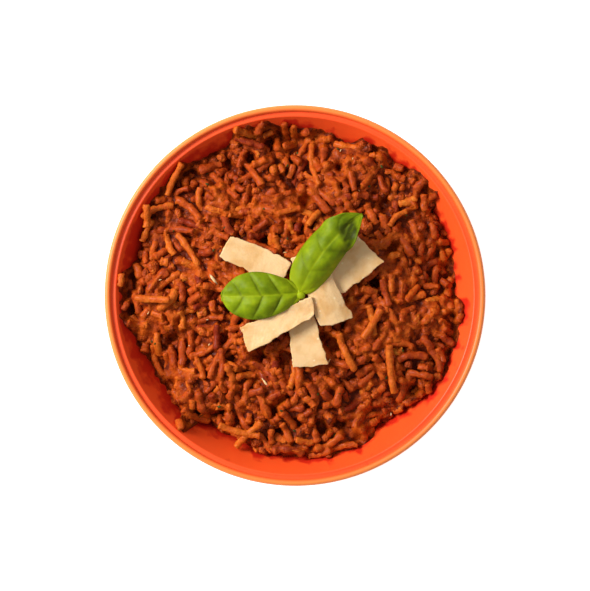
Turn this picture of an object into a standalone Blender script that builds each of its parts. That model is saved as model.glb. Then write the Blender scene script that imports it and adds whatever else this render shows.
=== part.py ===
"""A bowl of spaghetti bolognese with five shavings of hard cheese and a basil sprig.

Metres, +Z up. The origin is on the table, under the middle of the bowl, which stands on its
foot ring. Every piece is one closed solid: the bowl, the heap of short spaghetti and mince that
fills it, each shaving, and the sprig. The heap lies against the bowl's inside, the shavings lie
on the heap and on each other, and the sprig lies on the shavings, each a hair's breadth apart.
"""

import math

import bpy
from mathutils import Vector, noise
from mathutils.bvhtree import BVHTree

MM = 0.001
CLEARANCE = 0.35 * MM  # between a piece and what it lies on
SEGMENTS = 56  # facets round the bowl and the heap
NOISE_SEED = 5  # without one, noise_vector differs from run to run
MERGE = 0.00001  # what a modifier may merge

# Bowl: a flat floor, a rounded bend, a straight slanting wall, and a thick lip over a small ledge.
RIM_RADIUS = 75 * MM
BOWL_HEIGHT = 55 * MM
WALL_THICKNESS = 2.5 * MM
WALL_ANGLE = math.radians(62)
BEND_RADIUS = 40 * MM
FLOOR_Z = 4.6 * MM
LEDGE_RADIUS = 70.2 * MM
LEDGE_Z = BOWL_HEIGHT - 1.8 * MM
LEDGE_ROUND = 0.7 * MM
LIP_WIDTH = 2.7 * MM
LIP_HALF_HEIGHT = 1.7 * MM
FOOT_RADIUS = 37 * MM
FOOT_WIDTH = 3.2 * MM
FOOT_RECESS = 2.1 * MM
BEND_STEPS = 8
LIP_STEPS = 9

# Heap: a low dome whose edge climbs the wall in clumps and drops back between them.
HEAP_EDGE_RADIUS = 66.4 * MM
HEAP_CROWN_Z = 55.5 * MM
HEAP_DOME_POWER = 2.6
HEAP_RINGS = 13
HEAP_UNDER_RINGS = 6
CLUMPS_DEG = (43, 61, 104, 147, 180, 229, 331)
CLUMP_RISE = 2.3 * MM
CLUMP_HALF_WIDTH = math.radians(7)
BAYS_DEG = (8, 90, 208, 239, 304)
BAY_DROP = 2.6 * MM
BAY_HALF_WIDTH = math.radians(11)
LUMP_SIZE = 9 * MM
LUMP_HEIGHT = 1.5 * MM
CALM_RADIUS = 30 * MM  # the heap is smoother than this near the middle, where the garnish lies

# Cheese: each shaving is a ribbon cut from a block, with crumbly ends and a slight curl.
SHAVING_THICKNESS = 1.1 * MM
SHAVING_ROUGHNESS = 0.45 * MM
SHAVING_STEPS = (10, 4)

# Basil: two opposite leaves on the cut tip of a stem.
LEAF_THICKNESS = 0.6 * MM
LEAF_STEPS = (16, 8)
LEAF_VEIN_PAIRS = 4
LEAF_PUFF = 0.5 * MM
NODE_RADIUS = 1.5 * MM
STEM_RADIUS = 1.05 * MM
JUNCTION = (1.7 * MM, 1.2 * MM)

ORANGE_PLASTIC = ("orange_plastic", (0.86, 0.12, 0.02), 0.35)
SAUCED_PASTA = ("sauced_pasta_and_mince", (0.33, 0.06, 0.012), 0.5)
HARD_CHEESE = ("hard_cheese", (0.85, 0.62, 0.32), 0.6)
BASIL_GREEN = ("basil_green", (0.16, 0.3, 0.02), 0.4)


def start_empty():
    """Removes whatever the opened scene holds and returns the object's and the helpers' collections."""
    for obj in list(bpy.data.objects):
        bpy.data.objects.remove(obj)
    parts = bpy.data.collections.new("spaghetti_bolognese")
    helpers = bpy.data.collections.new("helpers")
    for collection in (parts, helpers):
        bpy.context.scene.collection.children.link(collection)
    return parts, helpers


def material(name, colour, roughness):
    """A Principled material of one colour, made once for each name."""
    made = bpy.data.materials.get(name)
    if made is None:
        made = bpy.data.materials.new(name)
        made.use_nodes = True
        shader = made.node_tree.nodes["Principled BSDF"]
        shader.inputs["Base Color"].default_value = (*colour, 1)
        shader.inputs["Roughness"].default_value = roughness
        shader.inputs["Metallic"].default_value = 0
    return made


def new_object(name, points, edges, faces, finish, collection):
    mesh = bpy.data.meshes.new(name)
    mesh.from_pydata([tuple(p) for p in points], edges, faces)
    mesh.update()
    obj = bpy.data.objects.new(name, mesh)
    mesh.materials.append(material(*finish))
    collection.objects.link(obj)
    return obj


def arc(centre, radii, start, end, steps):
    """Points on an ellipse's arc in the (radius, height) plane, from one angle to another."""
    angles = [math.radians(start + (end - start) * i / steps) for i in range(steps + 1)]
    return [(centre[0] + radii[0] * math.cos(a), centre[1] + radii[1] * math.sin(a)) for a in angles]


def hump(angle, centre, half_width):
    """1 at centre, falling smoothly to 0, round the circle."""
    off = math.remainder(angle - centre, math.tau)
    return math.exp(-((off / half_width) ** 2))


# Bowl

BEND_END_RADIUS = LEDGE_RADIUS - (
    (LEDGE_Z - FLOOR_Z - BEND_RADIUS * (1 - math.cos(WALL_ANGLE))) / math.tan(WALL_ANGLE)
)
FLOOR_RADIUS = BEND_END_RADIUS - BEND_RADIUS * math.sin(WALL_ANGLE)
BEND_CENTRE = (FLOOR_RADIUS, FLOOR_Z + BEND_RADIUS)


def inner_wall(lift=0.0):
    """The inside from the floor's edge up to the ledge, moved inwards by lift: an arc, then the wall."""
    reach = BEND_RADIUS - lift
    bend = arc(BEND_CENTRE, (reach, reach), -90, math.degrees(WALL_ANGLE) - 90, BEND_STEPS)
    top = (LEDGE_RADIUS - lift * math.sin(WALL_ANGLE), LEDGE_Z + lift * math.cos(WALL_ANGLE))
    return [*bend, top]


def bowl_profile():
    """The bowl's half section, from the floor's middle over the lip and down to the foot ring."""
    lip_centre = (RIM_RADIUS - LIP_WIDTH / 2, BOWL_HEIGHT - LIP_HALF_HEIGHT)
    ledge = arc((LEDGE_RADIUS + LEDGE_ROUND, LEDGE_Z - LEDGE_ROUND), (LEDGE_ROUND, LEDGE_ROUND), 160, 80, 3)
    lip = arc(lip_centre, (LIP_WIDTH / 2, LIP_HALF_HEIGHT), 160, -80, LIP_STEPS)
    reach = BEND_RADIUS + WALL_THICKNESS
    outside = arc(BEND_CENTRE, (reach, reach), math.degrees(WALL_ANGLE) - 90, -68, BEND_STEPS - 2)
    wall_shift = (WALL_THICKNESS * math.sin(WALL_ANGLE), -WALL_THICKNESS * math.cos(WALL_ANGLE))
    under_lip = (LEDGE_RADIUS + wall_shift[0] - 1.6 * MM, LEDGE_Z + wall_shift[1] - 3 * MM)
    foot = [
        (FOOT_RADIUS + 0.6 * MM, 1.2 * MM),
        (FOOT_RADIUS, 0.3 * MM),
        (FOOT_RADIUS - 0.4 * MM, 0),
        (FOOT_RADIUS - FOOT_WIDTH, 0),
        (FOOT_RADIUS - FOOT_WIDTH - 0.5 * MM, FOOT_RECESS),
        (0, FOOT_RECESS),
    ]
    return [(0, FLOOR_Z), *inner_wall()[:-1], *ledge, *lip, under_lip, *outside, *foot]


def make_bowl(parts):
    """The half section turned round Z."""
    profile = bowl_profile()
    points = [(radius, 0, height) for radius, height in profile]
    edges = [(i, i + 1) for i in range(len(points) - 1)]
    bowl = new_object("bowl", points, edges, [], ORANGE_PLASTIC, parts)
    screw = bowl.modifiers.new("turn", "SCREW")
    screw.steps = screw.render_steps = SEGMENTS
    screw.use_merge_vertices = True
    screw.merge_threshold = MERGE
    return bowl


# Heap


def wall_height(radius, lift):
    """Height of the bowl's inside at a radius, moved inwards by lift."""
    profile = [(0, FLOOR_Z + lift), *inner_wall(lift)]
    for (r0, z0), (r1, z1) in zip(profile, profile[1:]):
        if radius <= r1:
            return z0 + (z1 - z0) * (radius - r0) / (r1 - r0)
    return profile[-1][1]


def heap_edge(angle):
    """How far out the heap reaches at an angle round the bowl."""
    rise = sum(hump(angle, math.radians(a), CLUMP_HALF_WIDTH) for a in CLUMPS_DEG)
    drop = sum(hump(angle, math.radians(a), BAY_HALF_WIDTH) for a in BAYS_DEG)
    return HEAP_EDGE_RADIUS + CLUMP_RISE * min(rise, 1) - BAY_DROP * min(drop, 1)


def relief(x, y):
    """Lumps of pasta and mince standing above or below the dome."""
    spot = Vector((x / LUMP_SIZE, y / LUMP_SIZE, 3.7))
    calm = min(1.0, 0.45 + 0.55 * math.hypot(x, y) / CALM_RADIUS)
    return LUMP_HEIGHT * noise.noise(spot) * calm


def heap_point(share, angle):
    """A point on the top of the heap, share of the way from its middle to its edge."""
    edge = heap_edge(angle)
    edge_height = wall_height(edge, 1.4 * CLEARANCE)
    x, y = share * edge * math.cos(angle), share * edge * math.sin(angle)
    dome = edge_height + (HEAP_CROWN_Z - edge_height) * (1 - share**HEAP_DOME_POWER)
    return Vector((x, y, dome + relief(x, y) * (1 - share**8)))


def heap_under(share, angle):
    """A point on the underside, which follows the bowl's inside."""
    radius = share * heap_edge(angle)
    height = wall_height(radius, 1.4 * CLEARANCE)
    return Vector((radius * math.cos(angle), radius * math.sin(angle), height))


def make_heap(parts):
    """Rings of points over the top and back along the underside, closed at both middles."""
    angles = [math.tau * i / SEGMENTS for i in range(SEGMENTS)]
    top_shares = [i / HEAP_RINGS for i in range(1, HEAP_RINGS + 1)]
    under_shares = [math.sqrt(1 - i / HEAP_UNDER_RINGS) for i in range(1, HEAP_UNDER_RINGS)]
    rings = [[heap_point(s, a) for a in angles] for s in top_shares]
    rings += [[heap_under(s, a) for a in angles] for s in under_shares]
    points = [heap_point(0, 0), *(p for ring in rings for p in ring), heap_under(0, 0)]
    faces = []
    for i in range(SEGMENTS):
        after = (i + 1) % SEGMENTS
        faces.append((0, 1 + i, 1 + after))
        for ring in range(len(rings) - 1):
            first = 1 + ring * SEGMENTS
            faces.append((first + i, first + SEGMENTS + i, first + SEGMENTS + after, first + after))
        last = 1 + (len(rings) - 1) * SEGMENTS
        faces.append((last + i, len(points) - 1, last + after))
    return new_object("bolognese_heap", points, [], faces, SAUCED_PASTA, parts)


# Sheets: shavings and leaves


def sheet_object(name, place, steps, thickness, finish, collection):
    """A sheet whose point at (along, across) is place(along, across), thickened both ways.

    along runs from 0 to 1 and across from -1 to 1."""
    rows, columns = steps
    points = [place(i / rows, 2 * j / columns - 1) for i in range(rows + 1) for j in range(columns + 1)]
    width = columns + 1
    faces = [
        (i * width + j, (i + 1) * width + j, (i + 1) * width + j + 1, i * width + j + 1)
        for i in range(rows)
        for j in range(columns)
    ]
    obj = new_object(name, points, [], faces, finish, collection)
    solidify = obj.modifiers.new("thickness", "SOLIDIFY")
    solidify.thickness = thickness
    solidify.offset = 0
    solidify.use_even_offset = False
    return obj


def world_mesh(obj):
    """(points, faces) of an object as it stands, modifiers included."""
    graph = bpy.context.evaluated_depsgraph_get()
    graph.update()
    evaluated = obj.evaluated_get(graph)
    mesh = evaluated.to_mesh()
    points = [evaluated.matrix_world @ v.co for v in mesh.vertices]
    faces = [tuple(p.vertices) for p in mesh.polygons]
    evaluated.to_mesh_clear()
    return points, faces


def clearance_over(obj, supports):
    """The smallest height between obj and the supports under it, by rays down from obj and up from them."""
    points, faces = world_mesh(obj)
    above = BVHTree.FromPolygons(points, faces)
    middles = [sum((points[i] for i in face), Vector()) / len(face) for face in faces]
    gaps = []
    for support in supports:
        under_points, under_faces = world_mesh(support)
        under = BVHTree.FromPolygons(under_points, under_faces)
        for spot in points + middles:
            hit = under.ray_cast(Vector((spot.x, spot.y, 1)), Vector((0, 0, -1)))[0]
            if hit:
                gaps.append(spot.z - hit.z)
        for spot in under_points:
            hit = above.ray_cast(Vector((spot.x, spot.y, 0)), Vector((0, 0, 1)))[0]
            if hit and spot.z > FLOOR_Z + BEND_RADIUS / 2:
                gaps.append(hit.z - spot.z)
    return min(gaps)


def lower_onto(obj, supports):
    """Drops obj straight down until it all but touches one of the supports."""
    bpy.context.view_layer.update()
    obj.location.z -= clearance_over(obj, supports) - CLEARANCE
    bpy.context.view_layer.update()


# name: middle (mm), heading, length, widths at the start, the middle and the end (mm),
# slant of the ends (mm), curl along and across (mm), pitch and roll, and what it lies on.
SHAVINGS = {
    "cheese_shaving_1": {
        "middle": (-15.3, 14.2), "heading": -21.6, "length": 26.2, "widths": (9.4, 10.6, 8.0),
        "slant": 0.5, "curls": (0.5, 0.3), "pitch": 1.5, "roll": -3, "on": (),
    },
    "cheese_shaving_2": {
        "middle": (20.6, 12.3), "heading": 34.3, "length": 21.5, "widths": (15.4, 16.2, 14.6),
        "slant": -1.6, "curls": (0.5, 0.6), "pitch": 5, "roll": 4, "on": (),
    },
    "cheese_shaving_5": {
        "middle": (4.0, -16.2), "heading": -80, "length": 23.4, "widths": (9.4, 11.6, 13.8),
        "slant": 0.6, "curls": (-0.6, 0.2), "pitch": 5, "roll": 2, "on": (),
    },
    "cheese_shaving_3": {
        "middle": (10.4, 2.8), "heading": -64.5, "length": 29.6, "widths": (11.0, 12.4, 12.2),
        "slant": 1.2, "curls": (-1.3, -1.0), "pitch": 3, "roll": -7,
        "on": ("cheese_shaving_2", "cheese_shaving_5"),
    },
    "cheese_shaving_4": {
        "middle": (-6.4, -10.7), "heading": 26.4, "length": 30.2, "widths": (10.4, 8.8, 7.4),
        "slant": 0.9, "curls": (-0.5, 0.3), "pitch": -5, "roll": 3,
        "on": ("cheese_shaving_3", "cheese_shaving_5"),
    },
}


def shaving_sheet(number, length, widths, slant, curls, **_):
    """A ribbon along its own X with uneven edges; the noise leaves its inside smooth."""

    def place(along, across):
        start, middle, end = widths
        belly = middle - (start + end) / 2
        half_width = (start + (end - start) * along + belly * 4 * along * (1 - along)) / 2
        x = (along - 0.5) * length + slant * across
        y = half_width * across
        bump = noise.noise_vector(Vector((x / 2.2, y / 2.2, number * 5.3)))
        x += SHAVING_ROUGHNESS / MM * bump.x * 2 * abs(2 * along - 1) ** 6
        y += SHAVING_ROUGHNESS / MM * bump.y * 2 * abs(across) ** 4
        z = curls[0] * (2 * along - 1) ** 2 + curls[1] * across**2 + 0.12 * bump.z
        return Vector((x, y, z)) * MM

    return place


def make_shaving(name, shape, made, heap, parts):
    place = shaving_sheet(int(name[-1]), **shape)
    obj = sheet_object(name, place, SHAVING_STEPS, SHAVING_THICKNESS, HARD_CHEESE, parts)
    x, y = shape["middle"]
    obj.location = (x * MM, y * MM, 2 * HEAP_CROWN_Z)
    obj.rotation_euler = [math.radians(shape[turn]) for turn in ("roll", "pitch", "heading")]
    lower_onto(obj, [heap, *(made[support] for support in shape["on"])])
    return obj


# tip (mm from the junction), bow sideways (mm), half widths at the base and at the widest (mm),
# height of the midrib's arch and of its tip (mm), how strongly the blade bends down across at the
# base, in the middle and at the tip (1 / m; below 0 it is cupped), and the outline's shape.
LEAVES = {
    "leaf_left": {
        "tip": (-30.2, -1.4), "bow": 0.5, "half_widths": (0.9, 9.4), "arch": 3.0, "tip_height": -1.6,
        "bends": (60, 42, 64), "widest": 0.6, "fullness": 0.5,
    },
    "leaf_right": {
        "tip": (24.0, 30.0), "bow": 2.7, "half_widths": (1.6, 8.9), "arch": 4.2, "tip_height": 3.2,
        "bends": (95, 80, -60), "widest": 0.42, "fullness": 0.62,
    },
}


def leaf_sheet(tip, bow, half_widths, arch, tip_height, bends, widest, fullness):
    """A leaf blade from its petiole to its tip: a bowed, arched midrib and a blade that bends across it."""
    heading = Vector((tip[0], tip[1], 0))
    side = Vector((-heading.y, heading.x, 0)).normalized()
    skew = math.log(0.5) / math.log(widest)

    def midrib(along):
        lean = 4 * along * (1 - along)
        height = arch * lean * (1 - 0.3 * along) + tip_height * along * along
        return heading * along + side * bow * lean + Vector((0, 0, height))

    def place(along, across):
        here = midrib(along)
        ahead = (midrib(along + 0.01) - midrib(along - 0.01)).normalized()
        left = Vector((-ahead.y, ahead.x, 0)).normalized()
        up = ahead.cross(left)
        at_base, at_widest = half_widths
        oval = max(0.0, math.sin(math.pi * along**skew)) ** fullness
        reach = at_base * (1 - along) + (at_widest - at_base / 2) * oval
        bend = bends[1] + (bends[0] - bends[1]) * (1 - along) ** 4 + (bends[2] - bends[1]) * along**5
        turn = bend * reach * across * MM
        out = math.sin(turn) / (bend * MM)
        down = (1 - math.cos(turn)) / (bend * MM)
        lobes = abs(math.sin(math.pi * LEAF_VEIN_PAIRS * (along - 0.16 * abs(across))))
        puff = LEAF_PUFF / MM * lobes * (1 - across**4) * min(1, 4 * abs(across)) * math.sin(math.pi * along)
        return (here + left * out + up * (puff - down)) * MM

    return place


def make_sprig(supports, parts, helpers):
    """The two leaves, the node where they meet and a stub of stem, joined into one solid."""
    leaves = []
    for name, shape in LEAVES.items():
        leaf = sheet_object(name, leaf_sheet(**shape), LEAF_STEPS, LEAF_THICKNESS, BASIL_GREEN, helpers)
        leaf.location = (*JUNCTION, 2 * HEAP_CROWN_Z)
        leaves.append(leaf)
    bpy.context.view_layer.update()
    drop = min(clearance_over(leaf, supports) for leaf in leaves) - CLEARANCE
    for leaf in leaves:
        leaf.location.z -= drop
    junction = leaves[0].location.copy()
    heap = BVHTree.FromPolygons(*world_mesh(supports[0]))
    heap_top = heap.ray_cast(Vector((*JUNCTION, 1)), Vector((0, 0, -1)))[0]
    stem_length = junction.z - heap_top.z - CLEARANCE - 0.3 * MM
    bpy.ops.mesh.primitive_cylinder_add(vertices=12, radius=STEM_RADIUS, depth=stem_length)
    stem = bpy.context.object
    stem.location = junction - Vector((0, 0, stem_length / 2))
    bpy.ops.mesh.primitive_uv_sphere_add(segments=12, ring_count=8, radius=NODE_RADIUS)
    node = bpy.context.object
    node.location = junction
    for helper, name in ((stem, "sprig_stem"), (node, "basil_sprig")):
        helper.name = helper.data.name = name
        helper.data.materials.append(material(*BASIL_GREEN))
        for collection in list(helper.users_collection):
            collection.objects.unlink(helper)
    helpers.objects.link(stem)
    parts.objects.link(node)
    for helper in (*leaves, stem):
        join = node.modifiers.new("join_" + helper.name, "BOOLEAN")
        join.operation = "UNION"
        join.solver = "EXACT"
        join.object = helper
        helper.hide_render = True
        helper.display_type = "WIRE"
    return node


def main():
    noise.seed_set(NOISE_SEED)
    parts, helpers = start_empty()
    make_bowl(parts)
    heap = make_heap(parts)
    made = {}
    for name, shape in SHAVINGS.items():
        made[name] = make_shaving(name, shape, made, heap, parts)
    make_sprig([heap, *made.values()], parts, helpers)


main()
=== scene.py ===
import math
import random

import bmesh
import bpy
import numpy as np
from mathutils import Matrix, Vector, noise
from mathutils.bvhtree import BVHTree


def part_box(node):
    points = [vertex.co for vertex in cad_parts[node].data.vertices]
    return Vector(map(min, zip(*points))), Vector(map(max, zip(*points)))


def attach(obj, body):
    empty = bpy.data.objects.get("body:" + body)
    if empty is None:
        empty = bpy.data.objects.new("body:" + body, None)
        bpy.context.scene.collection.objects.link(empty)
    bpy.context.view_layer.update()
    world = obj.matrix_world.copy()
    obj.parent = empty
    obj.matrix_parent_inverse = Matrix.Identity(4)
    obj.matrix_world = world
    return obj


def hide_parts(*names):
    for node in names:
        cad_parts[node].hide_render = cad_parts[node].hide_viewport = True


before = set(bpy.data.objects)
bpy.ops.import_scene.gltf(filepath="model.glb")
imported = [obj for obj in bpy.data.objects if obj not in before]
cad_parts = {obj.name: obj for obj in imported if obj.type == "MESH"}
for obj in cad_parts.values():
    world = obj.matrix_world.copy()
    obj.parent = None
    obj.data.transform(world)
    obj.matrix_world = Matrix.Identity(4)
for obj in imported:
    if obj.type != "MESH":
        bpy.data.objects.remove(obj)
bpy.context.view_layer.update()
print("frame loaded:", sorted(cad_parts))

mm = 0.001
rng = random.Random(41)
noise.seed_set(41)  # without one, noise_vector differs from run to run


# Small helpers, used by every piece.

def colour(code):  # sRGB hex to linear RGBA
    def linear(share):
        return share / 12.92 if share <= 0.04045 else ((share + 0.055) / 1.055) ** 2.4
    return (*[linear(int(code[i:i + 2], 16) / 255) for i in (1, 3, 5)], 1.0)


def addNode(tree, kind, settings=None, links=None):
    node = tree.nodes.new(kind)
    for key, value in (settings or {}).items():
        if key == "stops":  # a colour ramp from left to right
            band = node.color_ramp
            while len(band.elements) < len(value):
                band.elements.new(0.5)
            for element, (spot, tint) in zip(band.elements, value):
                element.position, element.color = spot, colour(tint)
        elif isinstance(key, int) or key in node.inputs:
            node.inputs[key].default_value = value
        else:
            setattr(node, key, value)
    for socket, source in (links or {}).items():
        tree.links.new(source, node.inputs[socket])
    return node


def newMaterial(name, settings):
    material = bpy.data.materials.new(name)
    material.use_nodes = True
    tree = material.node_tree
    shader = tree.nodes["Principled BSDF"]
    for key, value in settings.items():
        shader.inputs[key].default_value = value
    return material, tree, shader


def newObject(name, points, faces, material, marks=None):  # points in mm
    mesh = bpy.data.meshes.new(name)
    mesh.from_pydata((np.asarray(points) * mm).tolist(), [], faces)
    for key, values in (marks or {}).items():
        layer = mesh.attributes.new(key, "FLOAT", "POINT")
        layer.data.foreach_set("value", np.asarray(values, np.float32))
    mesh.materials.append(material)
    mesh.shade_smooth()
    mesh.validate()
    obj = bpy.data.objects.new(name, mesh)
    bpy.context.scene.collection.objects.link(obj)
    return obj


def place(obj, slot, *nodes):  # everything is one body, which never moves against itself
    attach(obj, "root")
    if nodes:
        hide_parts(*nodes)
    return obj


def nodeTree(*names):  # ray-cast tree over CAD nodes
    points, faces = [], []
    for name in names:
        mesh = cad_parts[name].data
        first = len(points)
        points += [v.co.copy() for v in mesh.vertices]
        faces += [[first + i for i in p.vertices] for p in mesh.polygons]
    return BVHTree.FromPolygons(points, faces)


def turnedFaces(rings, count):  # from a middle point over rings of count points to another middle point
    after = [(k + 1) % count for k in range(count)]
    faces = [(0, 1 + k, 1 + after[k]) for k in range(count)]
    for first in range(1, 1 + (rings - 1) * count, count):
        below = first + count
        faces += [(first + k, below + k, below + after[k], first + after[k]) for k in range(count)]
    start, last = 1 + (rings - 1) * count, 1 + rings * count
    return faces + [(start + k, last, start + after[k]) for k in range(count)]


def spinZ(turn):  # rows of a turn about the upright axis
    c, s = math.cos(turn), math.sin(turn)
    return np.array([[c, -s, 0], [s, c, 0], [0, 0, 1]])


def bumps(x, y, z, size, seed):  # smooth noise from -1 to 1, at one point in mm
    return noise.noise(Vector((x / size + 13.1 * seed, y / size - 7.7 * seed, z / size + 3.3 * seed)))


# Bowl: moulded melamine, turned from one profile.

bowl = {
    "rim": 75.0, "height": 55.0, "wall": 2.5, "wallAngle": 62.0, "bend": 40.0, "floor": 4.6,
    "ledge": (70.2, 53.2), "ledgeRound": 0.7, "lipWidth": 2.7, "lipHalfHeight": 1.7,
    "foot": 37.0, "footWidth": 3.2, "footRecess": 2.1, "turns": 224,
    # the lip colour is a painted highlight along the lip's outer edge
    # the stain colour is a sauce stain on the wall next to the food, and painted shade where it spreads
    # wider on the shaded side
    "wallOrange": "#f75a22", "deepOrange": "#ef4818", "lipHighlightOrange": "#f5833a", "stain": "#c4180a",
    "stainAndShadeReach": (3.6, 9.0, 170),  # least and extra spread (mm), and the side it is widest on (degrees); the least is a sauce stain, the extra spread towards the shaded side is painted shade
}


def arc(centre, radii, start, end, steps):
    angles = [math.radians(start + (end - start) * i / steps) for i in range(steps + 1)]
    return [(centre[0] + radii[0] * math.cos(a), centre[1] + radii[1] * math.sin(a)) for a in angles]


def innerWall():  # from the floor's edge over the bend to the ledge
    tilt = math.radians(bowl["wallAngle"])
    ledgeR, ledgeZ = bowl["ledge"]
    bendTop = ledgeZ - bowl["floor"] - bowl["bend"] * (1 - math.cos(tilt))
    floorR = ledgeR - bendTop / math.tan(tilt) - bowl["bend"] * math.sin(tilt)
    centre = (floorR, bowl["floor"] + bowl["bend"])
    bend = arc(centre, (bowl["bend"],) * 2, -90, bowl["wallAngle"] - 90, 20)
    last = bend[-1]
    shares = [i / 12 for i in range(1, 12)]
    straight = [(last[0] + (ledgeR - last[0]) * i, last[1] + (ledgeZ - last[1]) * i) for i in shares]
    return centre, [*bend, *straight]


def bowlProfile():
    centre, inside = innerWall()
    ledgeR, ledgeZ = bowl["ledge"]
    ringR = bowl["ledgeRound"]
    ledge = arc((ledgeR + ringR, ledgeZ - ringR), (ringR, ringR), 160, 62, 8)
    lipCentre = (bowl["rim"] - bowl["lipWidth"] / 2, bowl["height"] - bowl["lipHalfHeight"])
    lip = arc(lipCentre, (bowl["lipWidth"] / 2, bowl["lipHalfHeight"]), 178, -80, 24)
    reach = bowl["bend"] + bowl["wall"]
    outside = arc(centre, (reach, reach), bowl["wallAngle"] - 90, -68, 18)
    tilt = math.radians(bowl["wallAngle"])
    wallTop = (ledgeR + bowl["wall"] * math.sin(tilt) - 1.6, ledgeZ - bowl["wall"] * math.cos(tilt) - 3)
    inner = bowl["foot"] - bowl["footWidth"]
    foot = [(bowl["foot"] + 0.6, 1.2), (bowl["foot"], 0.3), (bowl["foot"] - 0.4, 0),
            (inner, 0), (inner - 0.5, bowl["footRecess"]), (0, bowl["footRecess"])]
    return [(0, bowl["floor"]), *inside, *ledge, *lip, wallTop, *outside, *foot]


wallLine = innerWall()[1]
wallR = np.array([0, *[p[0] for p in wallLine], bowl["ledge"][0]])
wallZ = np.array([bowl["floor"], *[p[1] for p in wallLine], bowl["ledge"][1]])
wallSlope = math.tan(math.radians(bowl["wallAngle"]))


def wallHeight(radius):
    return np.interp(radius, wallR, wallZ) + np.maximum(0, radius - bowl["ledge"][0]) * wallSlope


# Height map of the food, in mm: it starts as the bowl and a core, and every piece that is laid raises it.

food = {
    "cell": 0.5, "half": 72.0, "heapWithin": 70, "garnishWithin": 46, "coreDepth": 8.0,
    "underGarnish": 1.5, "spread": 62,
    "noodles": 1500, "crumbs": 620, "tries": 8, "batch": 20, "proud": 0.2, "swell": (11.0, 1.3),
    "onWall": 4.4, "wallFrom": 57, "edgeInset": 0.7, "ragged": (0.9, 3.0),
    # room above a piece (mm): the least at any point of a noodle, on average over it, and over a crumb
    "tightest": (-1.3, -0.4, -0.9),
    "noodleRadius": (1.1, 1.5), "noodleLength": (4.5, 22.0), "noodleSides": 8, "flat": (1.14, 0.84),
    "crumbRadius": (1.0, 3.1), "holes": 42, "holeRadius": (1.5, 3.1), "holeDepth": (4.5, 8.5),
    # how far out the food reaches, as (degrees, mm): it climbs the wall in clumps, with bays between
    "edge": [
        (0, 65.6), (31, 65.6), (36, 69.8), (47, 69.8), (52, 66.3), (58, 69), (67, 68.6), (72, 65.4),
        (79, 68), (92, 68), (97, 70.2), (110, 70.2), (114, 66.4), (125, 66.4), (130, 69), (145, 69.4),
        (150, 70), (157, 66), (163, 64.7), (168, 65), (172, 69.8), (188, 69.8), (195, 67.3), (202, 65),
        (222, 65), (226, 66.5), (228, 70), (231, 70), (233, 64), (236, 61.4), (240, 62.5), (250, 62.8),
        (256, 65), (274, 65.3), (282, 66.3), (298, 66.3), (303, 63), (317, 63), (321, 66.7), (330, 67),
        (334, 68.6), (338, 66.4), (345, 68), (356, 68), (360, 65.6),
    ],
}
cellCount = int(2 * food["half"] / food["cell"])
axisMm = (np.arange(cellCount) + 0.5) * food["cell"] - food["half"]
gridX, gridY = np.meshgrid(axisMm, axisMm, indexing="ij")
gridR = np.hypot(gridX, gridY)


def castMap(tree, reach, upwards, missing):
    found = np.full(gridX.shape, missing)
    start, way = (0.02, Vector((0, 0, 1))) if upwards else (0.2, Vector((0, 0, -1)))
    for i, j in zip(*np.nonzero(gridR < reach)):
        hit = tree.ray_cast(Vector((gridX[i, j] * mm, gridY[i, j] * mm, start)), way)[0]
        if hit:
            found[i, j] = hit.z / mm
    return found


garnishNames = [f"cheese_shaving_{i}" for i in range(1, 6)] + ["basil_sprig"]
noFood, openAir = -1.0, 1000.0  # heights where there is no heap or no garnish
heapTop = castMap(nodeTree("bolognese_heap"), food["heapWithin"], False, noFood)
garnishUnder = castMap(nodeTree(*garnishNames), food["garnishWithin"], True, openAir)
openMap = garnishUnder == openAir
wallMap = wallHeight(gridR)
steepness = np.clip((gridR - 40) / 15, 0, 1)  # a round thing touches a steep wall with its side
swellSize, swellHeight = food["swell"]
swell = np.array([[bumps(x, y, 0, swellSize, 2) for x in axisMm] for y in axisMm]).T
edgeTurns, edgeReach = zip(*food["edge"])


def edgeRadius(turn):
    return np.interp(np.degrees(turn) % 360, edgeTurns, edgeReach) - food["edgeInset"]


ragDepth, ragSize = food["ragged"]
ragged = ragDepth * np.array([[bumps(x, y, 0, ragSize, 5) for x in axisMm] for y in axisMm]).T
inFood = gridR < edgeRadius(np.arctan2(gridY, gridX)) + ragged
climb = np.where(gridR > food["wallFrom"], wallMap + food["onWall"], 0)
limitMap = np.maximum(heapTop + food["proud"], climb)
limitMap = limitMap + swellHeight * swell * np.clip((66 - gridR) / 8, 0, 1)
limitMap = np.where(inFood, np.minimum(limitMap, garnishUnder - food["underGarnish"]), noFood)
heightMap = np.where(inFood, np.maximum(wallMap, heapTop - food["coreDepth"]), wallMap)
for _ in range(food["holes"]):  # loose places where nothing lies on top
    away, turn = food["spread"] * math.sqrt(rng.random()), rng.uniform(0, math.tau)
    offX, offY = gridX - away * math.cos(turn), gridY - away * math.sin(turn)
    near = np.hypot(offX, offY * rng.uniform(0.7, 1.4))
    limitMap = limitMap - rng.uniform(*food["holeDepth"]) * (near < rng.uniform(*food["holeRadius"]))
print("height map ready:", int(inFood.sum()), "cells of food")


def cellOf(x, y):
    i = np.clip(((np.asarray(x) + food["half"]) / food["cell"]).astype(int), 0, cellCount - 1)
    j = np.clip(((np.asarray(y) + food["half"]) / food["cell"]).astype(int), 0, cellCount - 1)
    return i, j


def raiseMap(x, y, z, radius, flat=1.0):  # a row of balls raises the map
    lowI, lowJ = cellOf(x.min() - radius, y.min() - radius)
    highI, highJ = cellOf(x.max() + radius, y.max() + radius)
    part = (slice(int(lowI), int(highI) + 1), slice(int(lowJ), int(highJ) + 1))
    away = (gridX[part][..., None] - x) ** 2 + (gridY[part][..., None] - y) ** 2
    top = np.where(away < radius * radius, z + flat * np.sqrt(np.maximum(radius * radius - away, 0)), -1)
    heightMap[part] = np.maximum(heightMap[part], top.max(-1))


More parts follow.
